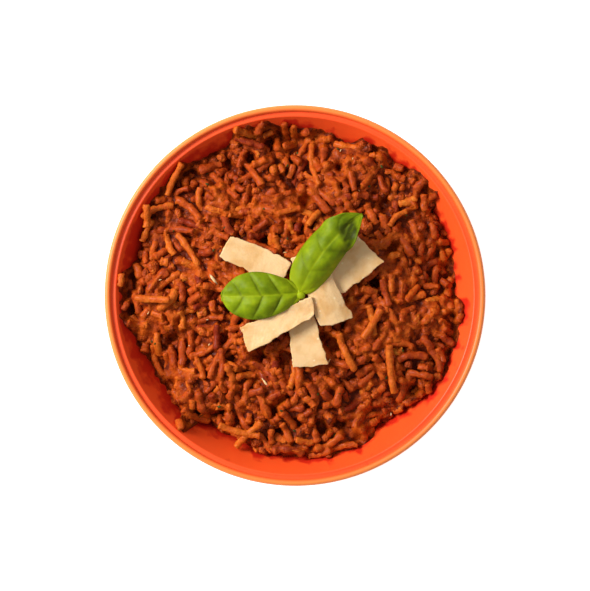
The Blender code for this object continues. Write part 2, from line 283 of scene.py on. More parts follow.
def restNoodle(x, y, heading, length, bend, radius):  # centre line of a soft noodle, on what is under it
    steps = max(5, int(length / 1.1))
    along = np.linspace(-0.5, 0.5, steps)
    turned = heading + bend * along
    stepX, stepY = np.cos(turned) * length / steps, np.sin(turned) * length / steps
    xs = x + np.cumsum(stepX) - stepX.sum() / 2
    ys = y + np.cumsum(stepY) - stepY.sum() / 2
    sideX, sideY = -np.sin(turned) * 0.55 * radius, np.cos(turned) * 0.55 * radius
    under = heightMap[cellOf(xs, ys)]
    for sign in (-1, 1):
        under = np.maximum(under, heightMap[cellOf(xs + sign * sideX, ys + sign * sideY)] - 0.25 * radius)
    under = under + steepness[cellOf(xs, ys)] * radius * 0.9
    weight = along / (along * along).sum()
    line = under.mean() + (under * weight).sum() * along
    line = line + (under - line).max()
    padded = np.concatenate([under[:1], under, under[-1:]])
    soft = (padded[:-2] + padded[1:-1] + padded[2:]) / 3
    return xs, ys, 0.62 * line + 0.38 * soft + radius * 0.8


def roomySpots(count):  # places where there is still room above the food, the deepest the likeliest
    room = np.clip(limitMap - heightMap - 1.6, 0, 6).ravel() ** 1.5
    picked = rng.choices(range(room.size), weights=room, k=count)
    return [(gridX.flat[k], gridY.flat[k]) for k in picked]


def layNoodle(spots, usual):
    best = None
    for x, y in spots:
        radius = rng.uniform(*food["noodleRadius"])
        length = min(food["noodleLength"][1], max(food["noodleLength"][0], rng.gauss(usual, 4.2)))
        bend = rng.gauss(0, 0.6) * length / 11
        xs, ys, zs = restNoodle(x, y, rng.uniform(0, math.tau), length, bend, radius)
        room = limitMap[cellOf(xs, ys)] - zs - radius
        if room.min() < food["tightest"][0] or room.mean() < food["tightest"][1]:
            continue
        if best is None or room.mean() > best[0]:
            best = (room.mean(), xs, ys, zs, radius)
    if best:
        raiseMap(*best[1:])
    return best and best[1:]


def layCrumb(spots, size):
    best = None
    for x, y in spots:
        ringX = x + 0.6 * size * np.array([0, 1, -1, 0, 0])
        ringY = y + 0.6 * size * np.array([0, 0, 0, 1, -1])
        under = heightMap[cellOf(ringX, ringY)] + steepness[cellOf(ringX, ringY)] * size * 0.5
        z = 0.6 * under.mean() + 0.4 * under.max() + 0.45 * size
        room = limitMap[cellOf(ringX, ringY)].min() - z - 0.8 * size
        if room < food["tightest"][2]:
            continue
        if best is None or room > best[0]:
            best = (room, x, y, z)
    if best:
        raiseMap(np.array([best[1]]), np.array([best[2]]), np.array([best[3]]), size, 0.8)
    return best and (*best[1:], size)


laidNoodles, laidCrumbs = [], []
order = ["noodle"] * food["noodles"] + ["crumb"] * food["crumbs"]
rng.shuffle(order)
for index, kind in enumerate(order):
    if index % food["batch"] == 0:
        spots = roomySpots(food["batch"] * food["tries"])
    mine = [spots.pop() for _ in range(food["tries"])]
    done = index / len(order)
    if kind == "noodle":
        laid = layNoodle(mine, 15 - 7 * done)
        if laid:
            laidNoodles.append(laid)
    else:
        low, high = food["crumbRadius"]
        laid = layCrumb(mine, low + (high - low) * rng.random() ** 1.8 * (1 - 0.5 * done))
        if laid:
            laidCrumbs.append(laid)

# The pale noodles on top that catch the eye: x, y of the middle (mm), heading (degrees), length (mm)
# and how far they bend (radians).
paleOnTop = [
    (29.8, -11.4, 58, 14.5, 0.2), (20.3, -21.5, -67, 17.0, 0.35), (38.0, -28.3, -84, 20.0, 0.15),
    (-58.5, 30.7, 88, 10.0, 0.1), (-22.5, -53.3, -15, 18.0, 0.3), (-18.8, -55.7, 45, 16.0, -0.2),
    (-56.6, -1.2, -3, 15.0, 0.1),
]
laidOnTop, topRadius = [], 1.35
for x, y, heading, length, bend in paleOnTop:
    xs, ys, zs = restNoodle(x, y, math.radians(heading), length, bend, topRadius)
    zs = np.minimum(zs, garnishUnder[cellOf(xs, ys)] - food["underGarnish"])
    laidOnTop.append((xs, ys, zs, topRadius))
gap = (limitMap - heightMap)[inFood & openMap]
print(f"laid {len(laidNoodles)} noodles and {len(laidCrumbs)} crumbs; room left: mean {gap.mean():.2f} mm, "
      f"over 3 mm on {100 * (gap > 3).mean():.0f}%")


# Noodles: short cut spaghetti, boiled soft, coated with sauce.

def tubeOf(xs, ys, zs, radius, sides, lump, seed):  # rings with blunt rounded ends
    line = np.stack([xs, ys, zs], 1)
    lengths = np.concatenate([[0], np.cumsum(np.linalg.norm(np.diff(line, axis=0), axis=1))])
    total = lengths[-1]
    inner = np.linspace(0.9 * radius, total - 0.9 * radius, max(4, int(total / 1.15)))
    stations = np.concatenate([[0, 0.3 * radius], inner, [total - 0.3 * radius, total]])
    shrink = np.array([rng.uniform(0.86, 1.08) for _ in stations])
    shrink[[0, -1]] *= rng.uniform(0.6, 0.92)
    centre = np.stack([np.interp(stations, lengths, line[:, k]) for k in range(3)], 1)
    ahead = np.gradient(centre, axis=0)
    ahead /= np.linalg.norm(ahead, axis=1)[:, None]
    side = np.cross(ahead, [0, 0, 1.0])
    side /= np.linalg.norm(side, axis=1)[:, None]
    up = np.cross(side, ahead)
    turn = np.linspace(0, math.tau, sides, endpoint=False)
    sideways = side[:, None] * np.cos(turn)[None, :, None]
    upwards = up[:, None] * np.sin(turn)[None, :, None]
    ringOut = sideways + upwards
    oval = food["flat"][0] * sideways + food["flat"][1] * upwards
    points = (centre[:, None] + oval * (radius * shrink)[:, None, None]).reshape(-1, 3)
    outward = ringOut.reshape(-1, 3)
    knobs = [lump * (bumps(*p, 2.8, seed) + 0.85 * bumps(*p, 1.1, seed + 1)) for p in points]
    points = points + outward * radius * np.array(knobs)[:, None]
    points = np.vstack([points, centre[0], centre[-1]])
    rings = len(stations)
    faces = []
    for ring in range(0, (rings - 1) * sides, sides):
        for k in range(sides):
            after = (k + 1) % sides
            faces.append((ring + k, ring + after, ring + sides + after, ring + sides + k))
    first, last = rings * sides, rings * sides + 1
    faces += [(first, (k + 1) % sides, k) for k in range(sides)]
    faces += [(last, (rings - 1) * sides + k, (rings - 1) * sides + (k + 1) % sides) for k in range(sides)]
    return points, faces


def joinAll(parts):  # parts are (points, faces, tone)
    points, faces, tones = [], [], []
    first = 0
    for somePoints, someFaces, tone in parts:
        points.append(somePoints)
        faces += [tuple(first + i for i in face) for face in someFaces]
        tones.append(np.full(len(somePoints), tone))
        first += len(somePoints)
    return np.vstack(points), faces, np.concatenate(tones)


# Boiled durum wheat under a film of tomato and oil. The film is thick in the hollows and thin on the
# crests, so each noodle runs from red-brown to a pale orange, with a soft, half dull shine.
pasta = {
    "sauceDark": "#7e2103", "sauce": "#b24609", "thinSauce": "#c86113", "bare": "#e29236",
    "filmSize": 2.2, "pulpSize": 0.8, "oil": 0.06,
    "paleEvery": 12, "knobs": (0.55, 0.28), "paleGirth": 0.95,  # clots of sauce on a coated and a pale one
}


def pastaMaterial(name, shift):
    material, tree, shader = newMaterial(name, {
        "IOR": 1.4, "Specular IOR Level": 0.2, "Coat Weight": pasta["oil"], "Coat Roughness": 0.2,
        "Subsurface Weight": 0.12, "Subsurface Radius": (1.0, 0.3, 0.1), "Subsurface Scale": 1.2 * mm,
    })
    spot = addNode(tree, "ShaderNodeTexCoord").outputs["Object"]
    tone = addNode(tree, "ShaderNodeAttribute", {"attribute_name": "tone"})
    film = addNode(tree, "ShaderNodeTexNoise", {
        "Scale": 1 / (pasta["filmSize"] * mm), "Detail": 4.0, "Roughness": 0.6}, {"Vector": spot})
    grain = addNode(tree, "ShaderNodeTexNoise", {
        "Scale": 1 / (pasta["pulpSize"] * mm), "Detail": 4.0, "Roughness": 0.6}, {"Vector": spot})
    mix = addNode(tree, "ShaderNodeMath", {"operation": "MULTIPLY_ADD", 1: 0.75, 2: shift},
                  {0: film.outputs["Fac"]})
    total = addNode(tree, "ShaderNodeMath", {"operation": "ADD"},
                    {0: mix.outputs[0], 1: tone.outputs["Fac"]})
    shade = addNode(tree, "ShaderNodeValToRGB", {"stops": [
        (0.12, pasta["sauceDark"]), (0.42, pasta["sauce"]),
        (0.66, pasta["thinSauce"]), (0.9, pasta["bare"])]}, {"Fac": total.outputs[0]})
    tree.links.new(shade.outputs["Color"], shader.inputs["Base Color"])
    shine = addNode(tree, "ShaderNodeMapRange", {"To Min": 0.4, "To Max": 0.75},
                    {"Value": film.outputs["Fac"]})
    tree.links.new(shine.outputs["Result"], shader.inputs["Roughness"])
    fine = addNode(tree, "ShaderNodeBump", {"Strength": 0.8, "Distance": 0.5 * mm},
                   {"Height": grain.outputs["Fac"]})
    coarse = addNode(tree, "ShaderNodeBump", {"Strength": 0.7, "Distance": 0.8 * mm},
                     {"Height": film.outputs["Fac"], "Normal": fine.outputs["Normal"]})
    tree.links.new(coarse.outputs["Normal"], shader.inputs["Normal"])
    return material


saucedParts, bareParts = [], []
for index, (xs, ys, zs, radius) in enumerate(laidNoodles + laidOnTop):
    onTop = index >= len(laidNoodles)
    bare = onTop or index % pasta["paleEvery"] == 0
    lump = pasta["knobs"][bare]
    tone = -0.03 if onTop else rng.uniform(-0.2, 0.05) if bare else rng.gauss(-0.02, 0.11)
    girth = radius * (pasta["paleGirth"] if bare else 1.0)
    shape = tubeOf(xs, ys, zs, girth, food["noodleSides"], lump, index % 17)
    (bareParts if bare else saucedParts).append((*shape, tone))
for name, parts, material in (
        ("saucedSpaghetti", saucedParts, pastaMaterial("boiledSpaghettiInSauce", 0.02)),
        ("paleSpaghetti", bareParts, pastaMaterial("boiledSpaghettiHardlyCoated", 0.22))):
    points, faces, tones = joinAll(parts)
    obj = newObject(name, points, faces, material, {"tone": tones})
    place(obj, "sauced_pasta")
    print(name, len(parts), "noodles,", sum(len(p.vertices) - 2 for p in obj.data.polygons), "triangles")


# Mince: fried minced beef, broken into knobbly crumbs.

mince = {
    "dark": "#5a1c03", "brown": "#8e3306", "red": "#b2480a", "fat": "#cc7420", "patchSize": 1.8,
    "grainSize": 0.8, "long": (0.9, 1.4), "wide": (0.7, 1.0), "high": (0.65, 0.9), "knobs": (0.65, 0.45),
}


def unitBall(level):  # an icosphere's points and faces
    ball = bmesh.new()
    bmesh.ops.create_icosphere(ball, subdivisions=level, radius=1)
    ball.verts.index_update()
    points = np.array([v.co for v in ball.verts])
    faces = [tuple(v.index for v in f.verts) for f in ball.faces]
    ball.free()
    return points, faces


# Beef fried until it browned, then simmered: dark crusts and paler fatty spots, dull, with a grain of
# fibres.
def minceMaterial():
    material, tree, shader = newMaterial("friedMincedBeef", {
        "Roughness": 0.6, "IOR": 1.4, "Specular IOR Level": 0.2, "Coat Weight": 0.06, "Coat Roughness": 0.2,
        "Subsurface Weight": 0.08, "Subsurface Radius": (1.0, 0.3, 0.15), "Subsurface Scale": 0.8 * mm,
    })
    spot = addNode(tree, "ShaderNodeTexCoord").outputs["Object"]
    tone = addNode(tree, "ShaderNodeAttribute", {"attribute_name": "tone"})
    patch = addNode(tree, "ShaderNodeTexNoise", {
        "Scale": 1 / (mince["patchSize"] * mm), "Detail": 5.0, "Roughness": 0.65}, {"Vector": spot})
    fibre = addNode(tree, "ShaderNodeTexVoronoi", {"Scale": 1 / (mince["grainSize"] * mm)},
                    {"Vector": spot})
    total = addNode(tree, "ShaderNodeMath", {"operation": "ADD"},
                    {0: patch.outputs["Fac"], 1: tone.outputs["Fac"]})
    shade = addNode(tree, "ShaderNodeValToRGB", {"stops": [
        (0.25, mince["dark"]), (0.45, mince["brown"]), (0.65, mince["red"]), (0.85, mince["fat"])]},
        {"Fac": total.outputs[0]})
    tree.links.new(shade.outputs["Color"], shader.inputs["Base Color"])
    bump = addNode(tree, "ShaderNodeBump", {"Strength": 0.9, "Distance": 0.5 * mm},
                   {"Height": fibre.outputs["Distance"]})
    tree.links.new(bump.outputs["Normal"], shader.inputs["Normal"])
    return material


crumbBall, crumbFaces = unitBall(2)
crumbParts = []
for index, (x, y, z, size) in enumerate(laidCrumbs):
    squash = np.array([rng.uniform(*mince[size]) for size in ("long", "wide", "high")])
    spin = spinZ(rng.uniform(0, math.tau))
    big, small = mince["knobs"]
    knobs = [1 + big * bumps(*p, 0.75, index) + small * bumps(*p, 0.34, index + 5) for p in crumbBall]
    points = (crumbBall * np.array(knobs)[:, None] * squash) @ spin.T * size + (x, y, z)
    crumbParts.append((points, crumbFaces, rng.gauss(0.02, 0.09)))
points, faces, tones = joinAll(crumbParts)
obj = newObject("minceCrumbs", points, faces, minceMaterial(), {"tone": tones})
place(obj, "sauced_pasta")
print("minceCrumbs", len(crumbParts), "crumbs,", len(obj.data.polygons), "triangles")


# Sauce: what fills the gaps, a relief over the core that sags between the pieces.

sauce = {
    # the dark and red colours are painted shade in the gaps, where the sauce lies deep below the food around
    # it
    "dark": "#5c1a02", "red": "#943604", "orange": "#b54e0c", "gapShadeDepth": 7.0,
    "rings": 128, "turns": 560, "under": 10, "rag": 1.4,
    "sink": -0.05, "fillTo": 3.3, "fillWithin": 64, "thickPatch": (13.0, 0.8), "steepest": 1.3,
    # against the wall the same mark turns the sauce darker red: from which share of the way out, over how
    # much, how deep
    "redAtWall": (0.945, 0.03, 0.44), "buried": 0.3,
}


def blurred(field, passes):
    for _ in range(passes):
        field = (field + np.roll(field, 1, 0) + np.roll(field, -1, 0)) / 3
        field = (field + np.roll(field, 1, 1) + np.roll(field, -1, 1)) / 3
    return field


def worn(field, cells):  # the lowest height within some cells
    for _ in range(cells):
        field = np.minimum(np.minimum(field, np.roll(field, 1, 0)), np.roll(field, -1, 0))
        field = np.minimum(np.minimum(field, np.roll(field, 1, 1)), np.roll(field, -1, 1))
    return field


patchSize, patchHeight = sauce["thickPatch"]  # here and there the sauce lies thick over the pieces
thick = np.array([[bumps(x, y, 0, patchSize, 9) + 0.5 * bumps(x, y, 0, 3.1, 6) for x in axisMm]
                  for y in axisMm]).T
sauceMap = 0.65 * blurred(heightMap, 2) + 0.35 * blurred(worn(heightMap, 1), 2) - sauce["sink"]
filled = blurred(limitMap, 2) - sauce["fillTo"] + 1.3 * thick
sauceMap = np.maximum(sauceMap, np.where(inFood & (gridR < sauce["fillWithin"]), filled, 0))
sauceMap = sauceMap + patchHeight * np.clip(1.6 * thick, -0.2, 1)
sauceMap = np.minimum(sauceMap, blurred(heightMap, 8) + sauce["steepest"])  # no curtain under a bridge
sauceMap = np.minimum(sauceMap, garnishUnder - 0.3)
# painted shade: the sauce is darkened where it lies deep below the top of the food around it
gapShadeMap = np.clip((blurred(limitMap, 12) - sauceMap) / sauce["gapShadeDepth"], 0, 1)


def sampled(field, x, y):  # between the cells
    u = np.clip((np.asarray(x) + food["half"]) / food["cell"] - 0.5, 0, cellCount - 1.01)
    v = np.clip((np.asarray(y) + food["half"]) / food["cell"] - 0.5, 0, cellCount - 1.01)
    i, j = u.astype(int), v.astype(int)
    a, b = u - i, v - j
    low = field[i, j] * (1 - a) + field[i + 1, j] * a
    return low * (1 - b) + (field[i, j + 1] * (1 - a) + field[i + 1, j + 1] * a) * b


# Tomato simmered down with oil, rough with pulp: orange where it lies high, with shade painted in deep red
# and near black in the gaps, where it lies deep below the food around it.
def sauceMaterial():
    material, tree, shader = newMaterial("simmeredTomatoSauce", {
        "Roughness": 0.55, "IOR": 1.4, "Specular IOR Level": 0.15,
        "Coat Weight": 0.05, "Coat Roughness": 0.2,
        "Subsurface Weight": 0.1, "Subsurface Radius": (1.0, 0.25, 0.08), "Subsurface Scale": 1.0 * mm,
    })
    spot = addNode(tree, "ShaderNodeTexCoord").outputs["Object"]
    patch = addNode(tree, "ShaderNodeTexNoise", {"Scale": 1 / (3.0 * mm), "Detail": 5.0, "Roughness": 0.65},
                    {"Vector": spot})
    pulp = addNode(tree, "ShaderNodeTexNoise", {"Scale": 1 / (0.7 * mm), "Detail": 3.0},
                   {"Vector": spot})
    # this mark is painted shade in the gaps, and redder sauce against the wall
    depth = addNode(tree, "ShaderNodeAttribute", {"attribute_name": "depth"})
    total = addNode(tree, "ShaderNodeMath", {"operation": "SUBTRACT"},
                    {0: patch.outputs["Fac"], 1: depth.outputs["Fac"]})
    shade = addNode(tree, "ShaderNodeValToRGB", {"stops": [
        (0.0, sauce["dark"]), (0.15, sauce["red"]), (0.42, sauce["orange"])]}, {"Fac": total.outputs[0]})
    tree.links.new(shade.outputs["Color"], shader.inputs["Base Color"])
    bump = addNode(tree, "ShaderNodeBump", {"Strength": 0.9, "Distance": 0.6 * mm},
                   {"Height": pulp.outputs["Fac"]})
    tree.links.new(bump.outputs["Normal"], shader.inputs["Normal"])
    return material


def makeSauce():
    turns = np.array([math.tau * k / sauce["turns"] for k in range(sauce["turns"])])
    cosines, sines = np.cos(turns), np.sin(turns)
    rag = [bumps(70 * a, 70 * b, 0, 2.6, 8) for a, b in zip(cosines, sines)]
    edges = edgeRadius(turns) + sauce["rag"] * np.array(rag)
    edges = np.minimum(edges, bowl["ledge"][0] - 0.4)
    rows = [np.array([[0, 0, float(sampled(sauceMap, 0, 0))]])]
    for ring in range(1, sauce["rings"] + 1):
        radius = edges * (ring / sauce["rings"]) ** 0.9
        x, y = radius * cosines, radius * sines
        pulp = [0.45 * bumps(a, b, 0, 2.1, 3) + 0.3 * bumps(a, b, 0, 0.9, 4) for a, b in zip(x, y)]
        wall = wallHeight(radius)
        z = np.maximum(sampled(sauceMap, x, y) + np.array(pulp), wall + 0.05)
        if ring == sauce["rings"]:
            z = wall - sauce["buried"]
        rows.append(np.stack([x, y, z], 1))
    for ring in range(1, sauce["under"]):  # the underside follows the bowl, just inside its wall
        radius = edges * (1 - ring / sauce["under"])
        rows.append(np.stack([radius * cosines, radius * sines, wallHeight(radius) - sauce["buried"]], 1))
    rows.append(np.array([[0, 0, bowl["floor"] - sauce["buried"]]]))
    rings = len(rows) - 2
    faces = turnedFaces(rings, sauce["turns"])
    points = np.vstack(rows)
    # the mark is painted shade where the sauce lies deep, and turns darker red against the wall
    depth = sampled(gapShadeMap, points[:, 0], points[:, 1])
    shares = np.repeat(np.arange(1, rings + 1) / sauce["rings"], sauce["turns"])
    toEdge = np.concatenate([[0], shares, [0]])
    redFrom, redOver, redDepth = sauce["redAtWall"]
    depth = np.maximum(depth, np.clip((toEdge - redFrom) / redOver, 0, 1) * redDepth)
    return newObject("sauceCore", points, faces, sauceMaterial(), {"depth": depth})


place(makeSauce(), "sauced_pasta", "bolognese_heap")
print("sauce core made")


# The bowl itself, with a faint sauce stain along the wall next to the food, spread wider on the shaded side
# as painted shade.

def foodReach(turn):  # outermost laid food at an angle, for the stain and painted shade
    steps = np.arange(50, 72, 0.5)
    cells = cellOf(steps * math.cos(turn), steps * math.sin(turn))
    covered = heightMap[cells] > wallMap[cells] + 0.6
    return steps[covered].max() if covered.any() else 50


# Melamine pressed in a polished mould: an even, slightly waxy orange with wide soft highlights. A paler
# orange along the lip's outer edge is a painted highlight, and the wall next to the food is dyed red: a
# sauce stain, widened on the shaded side into painted shade.
def bowlMaterial():
    material, tree, shader = newMaterial("mouldedMelamine", {
        "IOR": 1.5, "Specular IOR Level": 0.35,
        "Subsurface Weight": 0.05, "Subsurface Radius": (1.0, 0.3, 0.05), "Subsurface Scale": 2 * mm,
    })
    spot = addNode(tree, "ShaderNodeTexCoord").outputs["Object"]
    stain = addNode(tree, "ShaderNodeAttribute", {"attribute_name": "stain"})
    cloud = addNode(tree, "ShaderNodeTexNoise", {"Scale": 1 / (30 * mm), "Detail": 3.0},
                    {"Vector": spot})
    smear = addNode(tree, "ShaderNodeTexNoise", {"Scale": 1 / (4.5 * mm), "Detail": 4.0},
                    {"Vector": spot})
    wall = addNode(tree, "ShaderNodeMix", {
        "data_type": "RGBA", 6: colour(bowl["wallOrange"]), 7: colour(bowl["deepOrange"])},
        {"Factor": cloud.outputs["Fac"]})
    # painted highlight: a paler orange along the lip's outer edge
    thin = addNode(tree, "ShaderNodeAttribute", {"attribute_name": "lip"})
    body = addNode(tree, "ShaderNodeMix", {"data_type": "RGBA", 7: colour(bowl["lipHighlightOrange"])},
                   {"Factor": thin.outputs["Fac"], 6: wall.outputs[2]})
    spread = addNode(tree, "ShaderNodeMath", {"operation": "MULTIPLY_ADD", 1: 1.4, 2: -0.7},
                     {0: smear.outputs["Fac"]})
    edge = addNode(tree, "ShaderNodeMath", {"operation": "ADD"},
                   {0: stain.outputs["Fac"], 1: spread.outputs[0]})
    amount = addNode(tree, "ShaderNodeMapRange", {"From Min": 0.25, "From Max": 0.65, "To Max": 0.9},
                     {"Value": edge.outputs[0]})
    # the red mixed in is a sauce stain next to the food, and painted shade where it spreads wider on the
    # shaded side
    stainedAndShaded = addNode(tree, "ShaderNodeMix", {"data_type": "RGBA", 7: colour(bowl["stain"])},
                   {"Factor": amount.outputs["Result"], 6: body.outputs[2]})
    tree.links.new(stainedAndShaded.outputs[2], shader.inputs["Base Color"])
    skin = addNode(tree, "ShaderNodeTexNoise", {"Scale": 1 / (1.6 * mm), "Detail": 2.0},
                   {"Vector": spot})
    gloss = addNode(tree, "ShaderNodeMapRange", {"To Min": 0.36, "To Max": 0.5},
                    {"Value": cloud.outputs["Fac"]})
    tree.links.new(gloss.outputs["Result"], shader.inputs["Roughness"])
    bump = addNode(tree, "ShaderNodeBump", {"Strength": 0.08, "Distance": 0.1 * mm},
                   {"Height": skin.outputs["Fac"]})
    tree.links.new(bump.outputs["Normal"], shader.inputs["Normal"])
    return material


def makeBowl():
    profile = bowlProfile()
    count = bowl["turns"]
    turns = [math.tau * k / count for k in range(count)]
    reach = [foodReach(t) for t in turns]
    # the stain spreads wider towards the shaded side: that extra spread is painted shade
    least, shadeSpread, shadedSide = bowl["stainAndShadeReach"]
    stainAndShadeSpread = [least + shadeSpread * max(0.0, math.cos(t - math.radians(shadedSide))) ** 2 for t in turns]
    points, marks, lipHighlights = [(0, 0, profile[0][1])], [1.0], [0.0]
    lipInside = bowl["rim"] - bowl["lipWidth"]
    for radius, height in profile[1:-1]:
        onInside = radius < bowl["ledge"][0] + 0.1 and abs(height - float(wallHeight(radius))) < 0.2
        for k, t in enumerate(turns):
            points.append((radius * math.cos(t), radius * math.sin(t), height))
            beyond = radius - reach[k]
            marks.append(float(np.clip(1 - beyond / stainAndShadeSpread[k], 0, 1)) if onInside else 0.0)
            onLip = height > bowl["height"] - 2.5
            # the lip's outer edge gets the painted highlight
            lipHighlights.append(float(np.clip((radius - lipInside) / 1.2, 0, 1)) if onLip else 0.0)
    points.append((0, 0, profile[-1][1]))
    marks.append(0.0)
    lipHighlights.append(0.0)
    faces = turnedFaces(len(profile) - 2, count)
    obj = newObject("orangeBowl", points, faces, bowlMaterial(), {"stain": marks, "lip": lipHighlights})
    obj.data.set_sharp_from_angle(angle=math.radians(50))
    return obj


place(makeBowl(), "bowl_plastic", "bowl")
print("bowl made")


# Cheese: aged hard cheese, pared off the block in flat strips that crumble at the edges.

cheese = {
    "body": "#e7c08b", "warm": "#d7a362", "crystal": "#eed2a5", "crumble": 0.3, "grain": 0.09, "fine": 3,
}


# Aged hard cheese pared with a blade: creamy and a little translucent, with a fine dry grain and a few
# white crystals.
def cheeseMaterial():
    material, tree, shader = newMaterial("paredHardCheese", {
        "Roughness": 0.6, "IOR": 1.46, "Specular IOR Level": 0.3,
        "Subsurface Weight": 0.25, "Subsurface Radius": (1.0, 0.6, 0.3), "Subsurface Scale": 1.5 * mm,
    })
    spot = addNode(tree, "ShaderNodeTexCoord").outputs["Object"]
    cloud = addNode(tree, "ShaderNodeTexNoise", {"Scale": 1 / (7 * mm), "Detail": 4.0},
                    {"Vector": spot})
    grain = addNode(tree, "ShaderNodeTexNoise", {"Scale": 1 / (0.8 * mm), "Detail": 5.0, "Roughness": 0.7},
                    {"Vector": spot})
    crystal = addNode(tree, "ShaderNodeTexVoronoi", {"Scale": 1 / (4.5 * mm)}, {"Vector": spot})
    dots = addNode(tree, "ShaderNodeMapRange", {
        "From Min": 0.05, "From Max": 0.12, "To Min": 1.0, "To Max": 0.0},
        {"Value": crystal.outputs["Distance"]})
    body = addNode(tree, "ShaderNodeValToRGB", {"stops": [(0.3, cheese["warm"]), (0.55, cheese["body"])]},
                   {"Fac": cloud.outputs["Fac"]})
    spotted = addNode(tree, "ShaderNodeMix", {"data_type": "RGBA", 7: colour(cheese["crystal"])},
                      {"Factor": dots.outputs["Result"], 6: body.outputs["Color"]})
    tree.links.new(spotted.outputs[2], shader.inputs["Base Color"])
    bump = addNode(tree, "ShaderNodeBump", {"Strength": 0.55, "Distance": 0.2 * mm},
                   {"Height": grain.outputs["Fac"]})
    tree.links.new(bump.outputs["Normal"], shader.inputs["Normal"])
    return material


cheeseLook = cheeseMaterial()
for number in range(1, 6):
    node = f"cheese_shaving_{number}"
    obj = bpy.data.objects.new(f"cheeseShaving{number}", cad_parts[node].data.copy())
    bpy.context.scene.collection.objects.link(obj)
    obj.data.materials.clear()
    obj.data.materials.append(cheeseLook)
    weld = obj.modifiers.new("weld", "WELD")
    weld.merge_threshold = 0.01 * mm
    soften = obj.modifiers.new("soften", "BEVEL")
    soften.width, soften.segments, soften.limit_method = 0.22 * mm, 2, "ANGLE"
    split = obj.modifiers.new("split", "SUBSURF")
    split.subdivision_type, split.levels, split.render_levels = "SIMPLE", cheese["fine"], cheese["fine"]
    graph = bpy.context.evaluated_depsgraph_get()
    fine = bpy.data.meshes.new_from_object(obj.evaluated_get(graph))
    obj.modifiers.clear()
    obj.data = fine
    fine.name = obj.name
    spots = np.array([v.co for v in fine.vertices]) / mm
    rims = 1 - abs(np.array([v.vector.z for v in fine.vertex_normals]))
    for spot, rim in zip(spots, rims):
        push = noise.noise_vector(Vector(spot * (1, 1, 0.4)) / 2.3 + Vector((number, 0, 0)))
        pits = noise.noise_vector(Vector(spot) / 0.8)
        spot += np.array((push.x, push.y, 0.25 * push.z)) * cheese["crumble"] * (0.5 + rim)
        spot += np.array(pits) * cheese["grain"] * (0.6 + 2 * rim)
    fine.vertices.foreach_set("co", (spots * mm).ravel())
    fine.shade_smooth()
    place(obj, "hard_cheese", node)
print("cheese shavings made")


# Small things scattered over the food: squashed balls that lie on whatever is under them.
bits = {
    "crumbs": [
        (-32.0, 6.3, -52, 2.4), (-26.9, 6.2, 20, 1.2), (-11.7, -34.4, -53, 2.0), (13.6, -25.4, 63, 1.3)],
    "moreCrumbs": 12, "herbs": 36, "herbSize": (0.45, 0.8), "herbGreen": "#4c4c08", "herbDark": "#28280a",
}


def scatter(spots, thin, knobby):  # spots are (x, y, heading in degrees, half length)
    parts = []
    for index, (x, y, heading, half) in enumerate(spots):
        knobs = [1 + knobby * bumps(*p, 0.6, index + 30) for p in crumbBall]
        shape = crumbBall * np.array(knobs)[:, None] * (half, half * thin[0] + 0.12, half * thin[1] + 0.12)
        spin = spinZ(math.radians(heading))
        onFood = float(sampled(heightMap, x, y)) + 0.1
        parts.append((shape @ spin.T + (x, y, onFood), crumbFaces, rng.random()))
    return parts


# Chopped herb that has simmered in the sauce: small flecks, nearly black-green and soft.
def herbMaterial():
    material, tree, shader = newMaterial("choppedHerbSimmered", {
        "Roughness": 0.5, "IOR": 1.4, "Specular IOR Level": 0.3})
    spot = addNode(tree, "ShaderNodeTexCoord").outputs["Object"]
    patch = addNode(tree, "ShaderNodeTexNoise", {"Scale": 1 / (0.6 * mm), "Detail": 3.0},
                    {"Vector": spot})
    shade = addNode(tree, "ShaderNodeValToRGB", {
        "stops": [(0.4, bits["herbDark"]), (0.6, bits["herbGreen"])]}, {"Fac": patch.outputs["Fac"]})
    tree.links.new(shade.outputs["Color"], shader.inputs["Base Color"])
    bump = addNode(tree, "ShaderNodeBump", {"Strength": 0.5, "Distance": 0.1 * mm},
                   {"Height": patch.outputs["Fac"]})
    tree.links.new(bump.outputs["Normal"], shader.inputs["Normal"])
    return material


def looseSpots(count, low, high):  # on the food, clear of the garnish
    spots = []
    while len(spots) < count:
        away, turn = food["spread"] * math.sqrt(rng.random()), rng.uniform(0, math.tau)
        x, y = away * math.cos(turn), away * math.sin(turn)
        if openMap[cellOf(x, y)]:
            spots.append((x, y, rng.uniform(0, 180), rng.uniform(low, high)))
    return spots


crumbSpots = bits["crumbs"] + looseSpots(bits["moreCrumbs"], 0.35, 0.7)
points, faces, _ = joinAll(scatter(crumbSpots, (0.12, 0.08), 0.9))
place(newObject("cheeseCrumbs", points, faces, cheeseLook), "hard_cheese")
points, faces, _ = joinAll(scatter(looseSpots(bits["herbs"], *bits["herbSize"]), (0.4, 0.05), 0.7))
place(newObject("herbFlecks", points, faces, herbMaterial()), "basil_leaf")
print("crumbs and flecks scattered")


# Basil: two leaves on the cut tip of a stem, the blade puffed up between its side veins.

